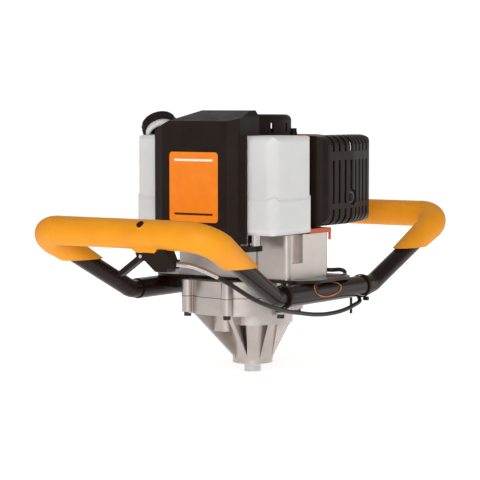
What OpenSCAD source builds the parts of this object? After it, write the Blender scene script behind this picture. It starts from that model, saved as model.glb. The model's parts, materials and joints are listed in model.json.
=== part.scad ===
// Powerhead of an earth auger: a small two-stroke engine on a reduction gear case, between two U handles.
// The origin is the centre of the output shaft's lower end. X runs along the grips, Y along the sleeves.

/* [Output shaft] */
// Diameter of the output shaft that takes the auger
shaft_d = 20; // [18:0.5:22]
// Length of shaft below the gear case
shaft_stub = 11; // [6:1:30]

/* [Gear train] */
// Tooth module of all gears
tooth_module = 1.25; // [1.1:0.05:1.35]
// Teeth on both pinions
pinion_teeth = 11; // [11:1:13]
// Teeth on both wheels
wheel_teeth = 55; // [50:1:60]
// Pressure angle of the teeth in degrees
pressure_angle = 25; // [22:1:26]
// Thickness taken off each tooth so that the gears run free
tooth_play = 0.3; // [0.2:0.05:0.5]
// Face width of the output wheel
out_face = 13; // [10:1:16]
// Face width of the countershaft wheel
counter_face = 11; // [9:1:14]
// Turn of the countershaft from straight ahead, in degrees
counter_turn = 15; // [5:1:25]
// Room between wheel tips and the case wall
gear_clear = 1.6; // [1:0.2:3]

/* [Gear case] */
// Wall of the gear case
case_wall = 5; // [4:0.5:7]
// Wall of the output stage, thicker for the casting's draft
stage_wall = 10.8; // [8:0.4:14]
// Distance of the case centre ahead of the output axis
case_shift = 25; // [22:1:28]
// Diameter of the boss round the output shaft
boss_d = 48; // [46:1:54]
// Height of that boss
boss_h = 8; // [6:1:12]
// Height of the ribbed cone above the boss
cone_h = 41; // [38:1:50]
// Thickness of the ribs
rib_t = 5; // [3:0.5:7]
// Thickness of the one broad rib
broad_rib_t = 13; // [8:1:16]
// Bolt lobes round the case
lobe_count = 6; // [5:1:8]
// Radius of a bolt lobe
lobe_r = 7; // [6:0.5:8]
// Thread of the case screws
case_screw_d = 5; // [4:0.5:6]

/* [Bearings] */
// Outside diameter of the output shaft bearings
out_brg_od = 42; // [40:1:43]
// Width of the output shaft bearings
out_brg_w = 12; // [10:1:13]
// Outside diameter of the oil seal
seal_od = 32; // [28:1:36]
// Width of the oil seal
seal_w = 7; // [5:1:8]
// Journal of the countershaft
counter_brg_id = 8; // [7:0.5:9]
// Outside diameter of the countershaft bearings
counter_brg_od = 22; // [20:1:24]
// Width of the countershaft bearings
counter_brg_w = 7; // [6:1:8]
// Journal of the clutch drum
drum_brg_id = 12; // [10:0.5:13]
// Outside diameter of the drum bearings
drum_brg_od = 28; // [26:1:30]
// Width of the drum bearings
drum_brg_w = 8; // [7:1:9]
// Journal of the crankshaft
crank_brg_id = 15; // [14:0.5:16]
// Outside diameter of the crank bearings
crank_brg_od = 35; // [32:1:37]
// Width of the crank bearings
crank_brg_w = 11; // [9:1:12]

/* [Handles] */
// Diameter of the handle tubes
tube_d = 21.5; // [20:0.5:23]
// Wall of the handle tubes
tube_wall = 1.6; // [1.2:0.1:2.4]
// Wall of the sleeves that the tubes plug into
sleeve_wall = 1.4; // [1.2:0.1:2.4]
// Length of each sleeve
sleeve_len = 188; // [170:2:192]
// Distance of each sleeve from the middle
sleeve_x = 102; // [101:0.5:108]
// Length of tube inside the sleeve
plug_in = 45; // [30:1:60]
// Where the tube's run and its rise would meet
bend_y = 105.5; // [104:0.5:112]
// Rise of the legs in degrees
rise_angle = 27.8; // [24:0.2:32]
// Lean of the legs outwards in degrees
splay = 11; // [6:0.5:14]
// Distance of each grip from the middle
grip_y = 256.6; // [240:0.2:280]
// Bend radius where the legs rise
bend_r = 30; // [26:1:36]
// Bend radius at the corners of the grips
corner_r = 29; // [25:1:34]
// Diameter of the soft grips
grip_d = 33; // [30:0.5:36]
// How far below their axis the grips are cut off
grip_drop = 37.8; // [30:0.2:44]
// Wall of the grips at their thin ends
grip_lip = 1.2; // [0.8:0.2:3]

/* [Handle plate] */
// Thickness of the plate that carries the sleeves
plate_t = 3.5; // [2.5:0.5:5]
// Half the plate's width along the sleeves
plate_y = 57; // [50:1:64]
// Corner radius of the plate
plate_corner = 30; // [20:1:34]
// Half the length of the saddles that hold the sleeves
strap_y = 45; // [40:1:50]
// Thread of the countersunk saddle screws
strap_bolt_d = 6; // [5:0.5:7]
// Place of those screws along the sleeves
strap_bolt_y = 30; // [24:1:36]

/* [Clutch and fan] */
// Outside diameter of the clutch drum
drum_d = 77; // [72:1:80]
// Height of the clutch drum
drum_h = 20; // [16:1:26]
// Diameter of the flywheel
flywheel_d = 92; // [88:1:94]
// Height of the flywheel with its blades
flywheel_h = 16; // [13:1:22]
// Number of fan blades
blade_count = 16; // [10:1:20]
// Reach of the fan case to the right
fan_right = 85; // [80:1:90]
// Reach of the fan case to the left
fan_left = 73; // [70:1:78]
// Reach of the fan case to the back of its flat sides
fan_back = 37; // [34:1:40]
// Wall of the fan case
fan_wall = 4; // [3:0.5:6]
// Corner radius of the fan case
fan_corner = 7; // [4:0.5:9]

/* [Engine] */
// Cylinder bore
bore_d = 40; // [38:0.5:41]
// Piston stroke
stroke = 34; // [30:1:35]
// Length of the connecting rod between its pins
rod_len = 62; // [60:0.5:66]
// Outside radius of the crankcase
crankcase_r = 38; // [37:0.5:40]
// Height from the fan case to the cylinder's axis
cyl_rise = 55; // [52:1:60]
// Height from the cylinder's axis to the starter's seat
case_rise = 43; // [40:1:48]
// Number of cylinder fins
fin_count = 6; // [4:1:7]
// Fin width across the cylinder
fin_w = 72; // [64:1:76]
// Fin height
fin_h = 76; // [66:1:80]

/* [Cylinder cover] */
// Reach of the cover to the right
cover_right = 56; // [54:1:57]
// Reach of the cover to the left
cover_left = 52; // [48:1:54]
// Front edge of the cover
cover_front = 56; // [56:1:60]
// Back of the cover
cover_back = 130; // [124:1:136]
// Height of the cover's top above the starter's seat
cover_rise = 17.2; // [16:0.2:22]
// Fall of the cover's top from front to back, in degrees
cover_fall = 5; // [3:0.5:8]
// Wall of the cover
cover_wall = 2.5; // [2:0.5:4]

/* [Muffler guard] */
// Reach of the guard to the right
guard_right = 95; // [93:1:100]
// Front of the guard
guard_front = 8; // [6:0.5:16]
// Back of the guard
guard_back = 146; // [138:1:150]
// Where the guard's outer face turns in
guard_turn_y = 76; // [66:1:86]
// Angle by which it turns in
guard_turn = 13; // [10:1:18]
// Underside of the guard above the fan case
guard_gap = 7.5; // [7:0.5:10]
// Height of the guard
guard_h = 106.5; // [100:0.5:110]
// Wall of the guard
guard_wall = 2.5; // [2:0.5:3.5]
// Rounding of the guard's long edges
guard_round = 14; // [8:1:16]
// Pitch of the slots
slot_pitch = 13.4; // [11:0.2:14]
// Width of the slots
slot_w = 5; // [3:0.5:7]
// Number of slots in a row
slot_count = 8; // [5:1:8]

/* [Starter] */
// Diameter of the starter housing
starter_d = 92; // [88:1:96]
// Height of the starter housing
starter_h = 41; // [40:1:46]
// Wall of the starter housing
starter_wall = 3; // [2:0.5:4]
// Rounding of its top edge
starter_round = 7; // [4:1:10]
// Diameter of the rope pulley
pulley_d = 64; // [56:1:70]
// Direction in which the rope leaves, in degrees
rope_turn = 165; // [155:1:175]
// Thickness of the pull grip
pull_d = 12; // [10:0.5:14]
// Length of the pull grip
pull_len = 32; // [26:1:38]

/* [Fuel tank] */
// Reach of the tank to the right
tank_right = 97; // [92:1:100]
// Reach of the tank to the left
tank_left = 101; // [96:1:103]
// Front of the tank
tank_front = 100; // [96:1:104]
// Back of the tank
tank_back = 15.5; // [14:0.5:20]
// Underside of the tank above the fan case
tank_gap = 2; // [1:0.5:4]
// Height of the tank
tank_h = 113; // [106:1:113.5]
// Corner radius of the tank
tank_corner = 12; // [8:1:16]
// Rounding of the tank's upper and lower edges
tank_round = 8; // [4:0.5:9]
// Wall of the tank
tank_wall = 2.5; // [2:0.5:4]
// Height of the moulding step
tank_step_h = 45; // [35:1:60]
// Depth of that step
tank_step = 1; // [0.6:0.2:2]
// Radius left free round the crankcase
tank_relief = 56; // [56:0.5:60]
// Diameter of the filler neck
neck_d = 36; // [33:0.5:37]
// Diameter of the fuel cap
cap_d = 41; // [40:0.5:44]
// Height of the fuel cap
cap_h = 10.5; // [9:0.5:14]

/* [Tank guard] */
// Front face of the tank guard
shield_front = 112; // [110:0.5:116]
// Back edge of its roof
shield_back = 62; // [60:1:70]
// Reach to the left
shield_left = 65; // [60:1:68]
// Reach to the right
shield_right = 51.6; // [48:0.2:56]
// Width of the lip beside the right edge
shield_lip = 9; // [6:0.5:11]
// Width of the shallow bevel down the left edge
shield_bevel = 14; // [8:1:18]
// How far it reaches below the tank
shield_skirt = 18; // [12:1:20]
// How far the front face's upper edge lies below the crest
shield_drop = 12; // [9:0.5:14]
// Height of the crest above the tank
shield_rise = 29; // [26:0.5:34]
// How far the crest lies behind the front face
shield_slope = 38; // [34:1:42]
// Chamfer down the right edge
shield_chamfer = 11; // [8:1:14]
// Chamfer across the upper left corner
shield_corner = 23; // [16:1:28]
// Wall of the guard
shield_wall = 3; // [2:0.5:4]
// Diameter of the spacers under the tank
spacer_d = 16; // [12:1:16]
// Place of the spacers to each side
spacer_x = 57; // [55:1:59]
// Place of the spacers towards the front
spacer_y = 82; // [78:1:86]
// Height of the spacers
spacer_h = 12.5; // [10:0.5:14]

/* [Throttle] */
// Place of the trigger's pin along the grip
trigger_x = 33; // [31:0.5:36]
// Reach of the trigger from its pin
trigger_len = 37.5; // [30:0.5:40]
// Slope of the trigger at rest, in degrees
trigger_slope = 35; // [32:1:40]
// Width of the trigger
trigger_w = 9; // [7:0.5:10]
// Diameter of the trigger's pin
trigger_pin_d = 4; // [3:0.5:4.5]
// Length of the throttle housing from the pin
housing_len = 41; // [39:0.5:44]
// Width of the throttle housing
housing_w = 16; // [15:0.5:20]
// Place of the stop button along the grip
button_x = 36; // [30:1:44]
// Diameter of the stop button
button_d = 8; // [6:0.5:9]
// Turn of the stop button round the grip, in degrees
button_turn = 45; // [35:1:55]
// Diameter of the throttle cable
cable_d = 5; // [4:0.5:6]
// Diameter of the elbow that guides the cable out
elbow_d = 5.6; // [5:0.2:6.4]

/* [Fits] */
// Radial clearance of running fits
run_clear = 0.05; // [0.03:0.01:0.08]
// Radial clearance of pressed or keyed pieces
fit_clear = 0.02; // [0.01:0.01:0.04]
// Space between pieces beside each other
gap = 0.4; // [0.3:0.1:0.5]

/* [Hidden] */
$fn = 48;
big = 600;
flank_steps = 3;

// Heights of the gear case, from the shaft's end upwards
side_gap = 1;
level_gap = 4;
boss_z = shaft_stub;
cone_z = boss_z + boss_h;
stage_z = cone_z + cone_h;
wheel_z = stage_z + case_wall + side_gap;
wheel_top = wheel_z + out_face;
counter_z = wheel_top + level_gap;
counter_top = counter_z + counter_face;
flange_z = counter_z - case_wall - level_gap;
lobe_z = flange_z + 2;
part_z = counter_top + side_gap;
bearing_z = part_z + 5;
top_wall = 5.5;
case_top = bearing_z + drum_brg_w + top_wall;
plate_top = case_top + plate_t;

// Gears: the countershaft stands at one centre distance from the output axis
pinion_pitch = pinion_teeth * tooth_module / 2;
wheel_pitch = wheel_teeth * tooth_module / 2;
wheel_tip = wheel_pitch + tooth_module;
pinion_tip = pinion_pitch + tooth_module;
centre_dist = pinion_pitch + wheel_pitch;
mesh_turn = 270 - counter_turn;
counter_x = centre_dist * cos(mesh_turn);
counter_y = centre_dist * sin(mesh_turn);
half_tooth = 180 / wheel_teeth;

// Radii of the gear case
case_in_r = norm([counter_x, counter_y + case_shift]) + wheel_tip + gear_clear;
case_r = case_in_r + case_wall;
stage_in_r = wheel_tip + gear_clear;
stage_r = stage_in_r + stage_wall;
lobe_circle = case_r + 4.5;
lobe_turn = -40;
counter_boss_r = counter_brg_od / 2 + 4;
counter_boss_z = stage_z - 8;
drum_boss_r = drum_brg_od / 2 + 4;
seat_z = boss_z + seal_w + 8;
upper_seat_z = wheel_z - side_gap - 2 - out_brg_w;
head_r = 0.87 * case_screw_d;
head_h = 1.1 * case_screw_d;

// Handles
sleeve_r = tube_d / 2 + run_clear + sleeve_wall;
sleeve_z = case_top - sleeve_r;
bend_run = bend_r * tan(rise_angle / 2);
leg_rise = (grip_y - bend_y) * tan(rise_angle);
corner_turn = acos(-sin(rise_angle) * sin(splay));
corner_run = corner_r * tan(corner_turn / 2);
rise_len = (grip_y - bend_y) / cos(rise_angle) - bend_run - corner_run;
grip_z = sleeve_z + leg_rise * cos(splay);
grip_x = sleeve_x + leg_rise * sin(splay);
grip_end_z = grip_z - grip_drop;
plug_y = sleeve_len / 2 - plug_in;
plate_x = sleeve_x + sleeve_r;
strap_x = sleeve_x - sleeve_r - strap_bolt_d / 2 - 3;
sink_h = plate_t - 0.5;
hair = 0.2;

// Clutch, fan and crank along the vertical axis
drum_seat_z = plate_top + 1;
drum_z = drum_seat_z + drum_brg_w + 1;
drum_floor = 3;
drum_top = drum_z + drum_h;
drum_wall = 2.5;
shoe_z = drum_z + drum_floor + 2;
shoe_h = drum_h - drum_floor - 4;
shoe_r = drum_d / 2 - drum_wall - 1.4;
flywheel_z = drum_top + 3;
flywheel_plate = 5;
fan_top = flywheel_z + flywheel_h + 2;
fan_floor = 5;
fan_in_r = flywheel_d / 2 + 3;
fan_front = fan_in_r + fan_wall;
flange_t = 4;
ear_x = fan_in_r + 4.5;
ear_y = [11, 26];
foot_in = ear_x + 7.5;
foot_y = [-2, 25];
foot_h = 5.5;

cyl_z = fan_top + cyl_rise;
engine_top = cyl_z + case_rise;
throw = stroke / 2;
rod_t = 11;
web_t = 11;
web_gap = rod_t / 2 + 0.5;
web_r = 27;
big_end_r = 13;
crank_pin_d = 16;
piston_pin_d = 10;
small_end_r = 9;
crown = 14;
skirt = 16;
cavity_r = throw + big_end_r + 1.5;
cavity_z = cyl_z - web_gap - web_t - 2;
cavity_h = 2 * (cyl_z - cavity_z);
block_y = 42;
block_x = 34;
tdc_y = throw + rod_len;
head_y = tdc_y + crown + 2;
head_t = 11;
barrel_r = bore_d / 2 + 4.5;
port_y = 72;
port_r = 12;
port_x = 40;
fin_t = 2.5;

// Intake side
heat_block_t = 20;
carb_x = port_x + heat_block_t;
carb_t = 24;
carb_w = 32;
carb_h = 36;
base_x = carb_x + carb_t;
base_t = 4;
filter_w = 62;
filter_h = 70;
filter_t = 34;

// Heights that follow the engine and the tank
cover_low = fan_top + 4;
cover_top = engine_top + cover_rise;
guard_low = fan_top + guard_gap;
guard_high = guard_low + guard_h;

// Exhaust side
muffler_x = cover_right + 2;
muffler_t = 23;
muffler_w = 62;
muffler_h = 80;
outlet_y = 74;
outlet_z = cyl_z - 15;
outlet_r = 7;

// Starter
starter_r = starter_d / 2;
starter_top = engine_top + starter_h;
cup_z = engine_top + 2;
cup_h = 10;
pulley_z = cup_z + cup_h + 2;
pulley_h = 10;
rope_z = pulley_z + pulley_h / 2;
post_r = 6;
lug_r = 4;
lug_h = 24;

// Tank, its neck and its cap
tank_z = fan_top + tank_gap;
tank_top = tank_z + tank_h;
shield_low = tank_z - shield_skirt;
shield_crest = tank_top + shield_rise;
shield_brow = shield_crest - shield_drop;
cap_at = [9 - tank_left, 38 - tank_front, tank_top + 11];
neck_yaw = 145;
neck_tilt = 45;
neck_len = cap_h + 4;
neck_seat = cap_h - 1;

// Throttle
bulge_z = grip_z - grip_d / 2 - 2.4;
bulge_top = grip_z - tube_d / 2 - 1;
trigger_hub_r = 4;
trigger_z = bulge_z - trigger_hub_r - gap;
button_r = grip_d / 2;
elbow_at = [trigger_x + housing_len + 2, -grip_y, trigger_z - 7];

// Route of the cable from the elbow, under the right sleeve, round its far end and up to the carburettor
elbow_route = [elbow_at - [6, 0, 0], elbow_at + [6, 0, 0], elbow_at + [18, 3, -1.5], elbow_at + [27, 14, -7], elbow_at + [32, 29, -14]];
cable_route = [
    elbow_route[4], [114, -205, 123], [120, -178, 108.5], [123, -150, 98], [122, -122, 91], [119, -98, 86.5],
    [117, -78, 83.5], [115, -42, 78.5], [114, -3, 76.5], [114, 28, 78.5], [113, 50, 82], [108, 68, 83.5],
    [100, 82, 84.6], [91, 90, 87], [85.5, 91, 97], [84, 84, 109], [82, 66, 120.5], [78, 46, 122], [56, 52, 122],
    [20, 66, 126], [-24, 68, 136], [-56, 62, 152], [-70, 52, 176], [-73, 46, 205], [-72, 49, 222], [-72, 50, 234.5]];

// Shapes that several pieces share

module up(z) {
    translate([0, 0, z]) children();
}

// Rounded rectangle between two corners
module round_rect(x0, y0, x1, y1, r) {
    translate([x0 + r, y0]) square([x1 - x0 - 2 * r, y1 - y0]);
    translate([x0, y0 + r]) square([x1 - x0, y1 - y0 - 2 * r]);
    for (x = [x0 + r, x1 - r], y = [y0 + r, y1 - r]) translate([x, y]) circle(r);
}

module ring(outer, inner) {
    difference() {
        circle(outer);
        circle(inner);
    }
}

module tube(outer, inner, h) {
    linear_extrude(h) ring(outer, inner);
}

// Ball bearing: two races joined by recessed shields
module bearing(inner_d, outer_d, w) {
    inner = inner_d / 2 + run_clear;
    outer = outer_d / 2 - fit_clear;
    race = (outer - inner) / 4;
    rotate_extrude() {
        translate([inner, 0]) square([race, w]);
        translate([outer - race, 0]) square([race, w]);
        translate([inner + race, 0.6]) square([outer - inner - 2 * race, w - 1.2]);
    }
}

// Socket-head screw with its head below the origin and its shank upwards
module socket_screw(d, shank) {
    difference() {
        up(-head_h) cylinder(r = head_r, h = head_h);
        up(-head_h - 1) cylinder(d = 0.8 * d, h = 0.5 * head_h + 1, $fn = 6);
    }
    cylinder(d = d, h = shank);
}

// Involute teeth
function involute(r, base) = r <= base ? 0 : tan(acos(base / r)) * 180 / PI - acos(base / r);

function tooth_half(teeth, r) =
    let (pitch = teeth * tooth_module / 2, base = pitch * cos(pressure_angle))
    90 / teeth - tooth_play / pitch * 90 / PI + involute(pitch, base) - involute(r, base);

function flank_radii(teeth) =
    let (pitch = teeth * tooth_module / 2, base = pitch * cos(pressure_angle),
         root = pitch - 1.25 * tooth_module, tip = pitch + tooth_module, start = max(root, base))
    concat(root < base ? [root] : [], [for (k = [0 : flank_steps]) start + (tip - start) * k / flank_steps]);

function gear_points(teeth) =
    let (radii = flank_radii(teeth), last = len(radii) - 1,
         base = teeth * tooth_module / 2 * cos(pressure_angle))
    [for (i = [0 : teeth - 1], side = [-1, 1], k = [0 : last])
        let (r = radii[side < 0 ? k : last - k],
             a = 360 * i / teeth + side * tooth_half(teeth, max(r, base)))
        r * [cos(a), sin(a)]];

module gear(teeth, face) {
    linear_extrude(face) polygon(gear_points(teeth));
}

// Wheel with a dished web and lightening holes
module wheel(teeth, face, bore_r, hub_r) {
    rim_r = teeth * tooth_module / 2 - 5;
    web_in = face / 4;
    hole_circle = (rim_r + hub_r) / 2;
    difference() {
        gear(teeth, face);
        up(-1) cylinder(r = bore_r, h = face + 2);
        for (z = [-1, face - web_in]) up(z) tube(rim_r, hub_r, web_in + 1);
        for (i = [0 : 5]) rotate(60 * i) translate([hole_circle, 0, -1]) cylinder(r = 3.5, h = face + 2);
    }
}

// Smooth curve through hand-set points
function curve_point(a, b, c, d, t) =
    0.5 * (2 * b + (c - a) * t + (2 * a - 5 * b + 4 * c - d) * t * t + (3 * b - a - 3 * c + d) * t * t * t);

function curve(points, steps) =
    let (last = len(points) - 1)
    concat([for (i = [0 : last - 1], k = [0 : steps - 1])
        curve_point(points[max(i - 1, 0)], points[i], points[i + 1], points[min(i + 2, last)], k / steps)],
        [points[last]]);

function unit(v) = v / norm(v);

function headings(path) =
    let (last = len(path) - 1)
    [for (i = [0 : last]) unit(path[min(i + 1, last)] - path[max(i - 1, 0)])];

// Normals carried along the path without twist
function carried(dirs, n, i = 0) =
    i == len(dirs) ? [] :
    let (m = unit(n - (n * dirs[i]) * dirs[i]))
    concat([m], carried(dirs, m, i + 1));

module swept_tube(path, r, sides) {
    dirs = headings(path);
    normals = carried(dirs, [0, 0.3, 1]);
    rings = len(path);
    points = [for (i = [0 : rings - 1], k = [0 : sides - 1])
        let (a = 360 * k / sides)
        path[i] + r * (cos(a) * normals[i] + sin(a) * cross(dirs[i], normals[i]))];
    walls = [for (i = [0 : rings - 2], k = [0 : sides - 1], half = [0, 1])
        let (a = i * sides + k, b = i * sides + (k + 1) % sides)
        half == 0 ? [a, a + sides, b] : [b, a + sides, b + sides]];
    ends = concat(
        [for (k = [1 : sides - 2]) [0, k, k + 1]],
        [for (k = [1 : sides - 2]) (rings - 1) * sides * [1, 1, 1] + [0, k + 1, k]]);
    polyhedron(points, concat(walls, ends));
}

// Gear case

// Centre of a lobe, pushed out where the output stage would cover the screw
function lobe_at(i) =
    let (a = 270 + lobe_turn + 360 * i / lobe_count,
         at = [lobe_circle * cos(a), lobe_circle * sin(a) - case_shift],
         reach = max(norm(at), stage_r + head_r + 1.2))
    at * reach / norm(at);

module lobe_places() {
    for (i = [0 : lobe_count - 1]) translate(lobe_at(i)) children();
}

// Round case with a web out to each lobe
module case_outline() {
    translate([0, -case_shift]) circle(case_r);
    for (i = [0 : lobe_count - 1]) {
        out = lobe_at(i) + [0, case_shift];
        translate([0, -case_shift]) rotate(atan2(out.y, out.x)) translate([0, -lobe_r * 0.8])
            square([norm(out), lobe_r * 1.6]);
    }
}

// Gusset from inside the boss out to a reach under a flat, sunk a little into both
module rib(turn, reach, top, t, sink) {
    rotate(turn) translate([0, t / 2, 0]) rotate([90, 0, 0]) linear_extrude(t)
        polygon([[0, boss_z + 1 + sink], [boss_d / 2 - 1, boss_z + 1 + sink], [boss_d / 2 + 1, cone_z],
            [reach, top + 0.5], [reach, top + 1 + sink], [0, top + 1 + sink]]);
}

module case_ribs() {
    for (i = [0 : lobe_count - 1]) {
        at = lobe_at(i);
        front = at.y < -case_shift - lobe_circle / 2;
        rib(atan2(at.y, at.x), front ? norm(at) - lobe_r : stage_r - 2, front ? flange_z : stage_z, rib_t, 0.2 * i);
    }
    rib(-56, stage_r - 3, stage_z, broad_rib_t, 0.2 * lobe_count);
}

module gearcase_lower() {
    color("silver") difference() {
        union() {
            up(flange_z) linear_extrude(part_z - flange_z) case_outline();
            up(stage_z) cylinder(r = stage_r, h = part_z - stage_z - case_wall);
            lobe_places() up(lobe_z - 0.4) cylinder(r = lobe_r, h = part_z - lobe_z + 0.4);
            translate([counter_x, counter_y, counter_boss_z])
                cylinder(r = counter_boss_r, h = flange_z - counter_boss_z + 1);
            up(boss_z) cylinder(d = boss_d, h = boss_h);
            up(cone_z) cylinder(d1 = boss_d, d2 = boss_d + 14, h = cone_h);
            case_ribs();
        }
        up(wheel_z - side_gap) cylinder(r = stage_in_r, h = out_face + 2 * side_gap);
        translate([0, -case_shift, counter_z - level_gap]) cylinder(r = case_in_r, h = big);
        translate([counter_x, counter_y, counter_boss_z + 3]) cylinder(d = counter_brg_od, h = big);
        up(seat_z) cylinder(d = out_brg_od, h = wheel_z - seat_z);
        up(boss_z - 1) cylinder(d = shaft_d + 4, h = seat_z - boss_z + 2);
        up(boss_z - 1) cylinder(d = seal_od, h = seal_w + 1.5);
        lobe_places() {
            cylinder(d = case_screw_d + 0.5, h = big);
            up(flange_z - 1) cylinder(r = head_r + gap, h = lobe_z - flange_z + 1);
        }
    }
}

module gearcase_upper() {
    screw_end = case_top - 6;
    color("silver") difference() {
        union() {
            difference() {
                union() {
                    up(part_z) linear_extrude(case_top - part_z) case_outline();
                    lobe_places() up(part_z) cylinder(r = lobe_r, h = case_top - part_z);
                }
                translate([0, -case_shift, part_z - 1]) cylinder(r = case_in_r, h = case_top - top_wall - part_z + 1);
            }
            up(bearing_z - 2.5) cylinder(r = drum_boss_r, h = case_top - bearing_z + 2.5);
            translate([counter_x, counter_y, bearing_z - 2.5])
                cylinder(r = counter_boss_r, h = case_top - bearing_z + 2.5);
        }
        up(part_z) cylinder(d = drum_brg_od, h = bearing_z + drum_brg_w - part_z);
        cylinder(d = drum_brg_id + 6, h = big);
        translate([counter_x, counter_y, part_z])
            cylinder(d = counter_brg_od, h = bearing_z + counter_brg_w - part_z);
        lobe_places() cylinder(r = case_screw_d / 2 + fit_clear, h = screw_end);
        base_screw_places() up(case_top - top_wall + 1) cylinder(r = case_screw_d / 2 + fit_clear, h = big);
    }
}

module gearcase_screws() {
    color("dimgray") lobe_places() up(lobe_z)
        socket_screw(case_screw_d, case_top - lobe_z - 7);
}

module oil_seal() {
    color("black") up(boss_z + 0.5)
        tube(seal_od / 2 - fit_clear, shaft_d / 2 + run_clear, seal_w);
}

module shaft_bearings() {
    color("gainsboro") {
        for (z = [seat_z, upper_seat_z]) up(z) bearing(shaft_d, out_brg_od, out_brg_w);
        for (z = [counter_boss_z + 3, bearing_z])
            translate([counter_x, counter_y, z]) bearing(counter_brg_id, counter_brg_od, counter_brg_w);
        for (z = [bearing_z, drum_seat_z]) up(z) bearing(drum_brg_id, drum_brg_od, drum_brg_w);
        for (z = [cavity_z - crank_brg_w, cavity_z + cavity_h])
            up(z) bearing(crank_brg_id, crank_brg_od, crank_brg_w);
    }
}

module output_shaft() {
    groove = 1;
    color("lightgray") {
        cylinder(d = shaft_d, h = shaft_stub);
        cylinder(d = shaft_d - 1.2, h = counter_z - 1.5);
        up(shaft_stub + groove) cylinder(d = shaft_d, h = counter_z - 1.5 - shaft_stub - groove);
        up(upper_seat_z + out_brg_w + 0.5)
            cylinder(d = shaft_d + 6, h = wheel_z - upper_seat_z - out_brg_w - 0.5);
    }
}

module output_wheel() {
    color("slategray") up(wheel_z) rotate(mesh_turn + half_tooth)
        wheel(wheel_teeth, out_face, shaft_d / 2 + fit_clear, shaft_d / 2 + 4);
}

module countershaft() {
    low = counter_boss_z + 3;
    seat_r = pinion_tip - 0.2;
    color("lightgray") translate([counter_x, counter_y, 0]) {
        up(low + 0.5) cylinder(d = counter_brg_id, h = bearing_z + counter_brg_w - low - 1);
        up(low + counter_brg_w + 1) rotate(mesh_turn + 180)
            gear(pinion_teeth, wheel_top + 1 - low - counter_brg_w - 1);
        up(wheel_top + 1) cylinder(r = seat_r + 1.5, h = counter_z - wheel_top - 1);
        up(counter_z) cylinder(r = seat_r, h = counter_face + 0.5);
    }
}

module counter_wheel() {
    color("slategray") translate([counter_x, counter_y, counter_z]) rotate(mesh_turn + 180 + half_tooth)
        wheel(wheel_teeth, counter_face, pinion_tip - 0.2 + fit_clear, pinion_tip + 3);
}

// Clutch, flywheel and crank

module clutch_drum() {
    low = counter_z - 1;
    color("darkgray") {
        up(low) rotate(mesh_turn) gear(pinion_teeth, part_z + 1 - low);
        up(part_z + 0.5) cylinder(d = drum_brg_id + 4.6, h = bearing_z - part_z - 0.8);
        up(part_z + 1) cylinder(d = drum_brg_id, h = drum_z - part_z);
        up(drum_z) difference() {
            cylinder(d = drum_d, h = drum_h);
            up(drum_floor) cylinder(d = drum_d - 2 * drum_wall, h = drum_h);
            for (i = [0 : 5]) rotate(60 * i + 30) translate([drum_d / 3.4, 0, -1]) cylinder(r = 4, h = drum_floor + 2);
        }
    }
}

shoe_pin_r = 4;
shoe_pin_at = shoe_r - 8;

module clutch_shoes() {
    color("dimgray") for (turn = [0, 180]) rotate(turn) up(shoe_z) difference() {
        rotate(-72) rotate_extrude(angle = 144) translate([shoe_r - 15, 0]) square([15, shoe_h]);
        translate([shoe_pin_at, 0, -1]) cylinder(r = shoe_pin_r + fit_clear, h = shoe_h + 2);
        rotate(50) translate([shoe_r - 10, 0, -1]) cylinder(r = 2.5, h = shoe_h + 2);
        rotate(-50) translate([shoe_r - 10, 0, -1]) cylinder(r = 2.5, h = shoe_h + 2);
    }
}

module flywheel() {
    hub_r = 15;
    color("lightgray") {
        difference() {
            union() {
                up(flywheel_z) cylinder(d = flywheel_d, h = flywheel_plate);
                up(flywheel_z) cylinder(r = hub_r, h = flywheel_h);
                for (i = [0 : blade_count - 1]) rotate(360 * i / blade_count)
                    translate([hub_r + 6, -1, flywheel_z + flywheel_plate - 1]) rotate(12)
                        cube([flywheel_d / 2 - hub_r - 8, 2, flywheel_h - flywheel_plate + 1]);
            }
            up(flywheel_z - 1) cylinder(r = crank_brg_id / 2 + fit_clear, h = flywheel_h + 2);
        }
        for (turn = [0, 180]) rotate(turn) translate([shoe_pin_at, 0, shoe_z])
            cylinder(r = shoe_pin_r, h = flywheel_z - shoe_z + 1);
    }
}

module crankshaft() {
    low = flywheel_z - 10;
    color("silver") {
        up(low) cylinder(d = 2 * crank_brg_id / 1.5, h = 10, $fn = 6);
        up(low) cylinder(d = crank_brg_id, h = cavity_z + 2 - low);
        for (z = [cavity_z + 2, cyl_z + web_gap]) up(z) difference() {
            cylinder(r = web_r, h = web_t);
            translate([0, throw, -1]) cylinder(d = crank_pin_d - 4, h = web_t + 2);
            for (side = [-1, 1]) translate([side * web_r / 1.7, throw / 1.6, -1]) cylinder(r = 5, h = web_t + 2);
        }
        up(cyl_z + web_gap + web_t) cylinder(d = crank_brg_id, h = cup_z + cup_h - cyl_z - web_gap - web_t);
    }
}

module starter_cup() {
    cup_r = 24;
    color("gray") up(cup_z) difference() {
        cylinder(r = cup_r, h = cup_h);
        up(3) tube(cup_r - 3, crank_brg_id / 2 + 4, cup_h);
        up(-1) cylinder(r = crank_brg_id / 2 + fit_clear, h = cup_h + 2);
        for (i = [0 : 3]) rotate(90 * i) translate([cup_r - 5, -3, 3]) cube([10, 6, cup_h]);
    }
}

// Fan case: plan of a box joined to a round volute
module fan_plan(inset) {
    round_rect(inset - fan_left, inset - fan_front, fan_right - inset, fan_back - inset, fan_corner);
    circle(fan_front - inset);
}

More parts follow.
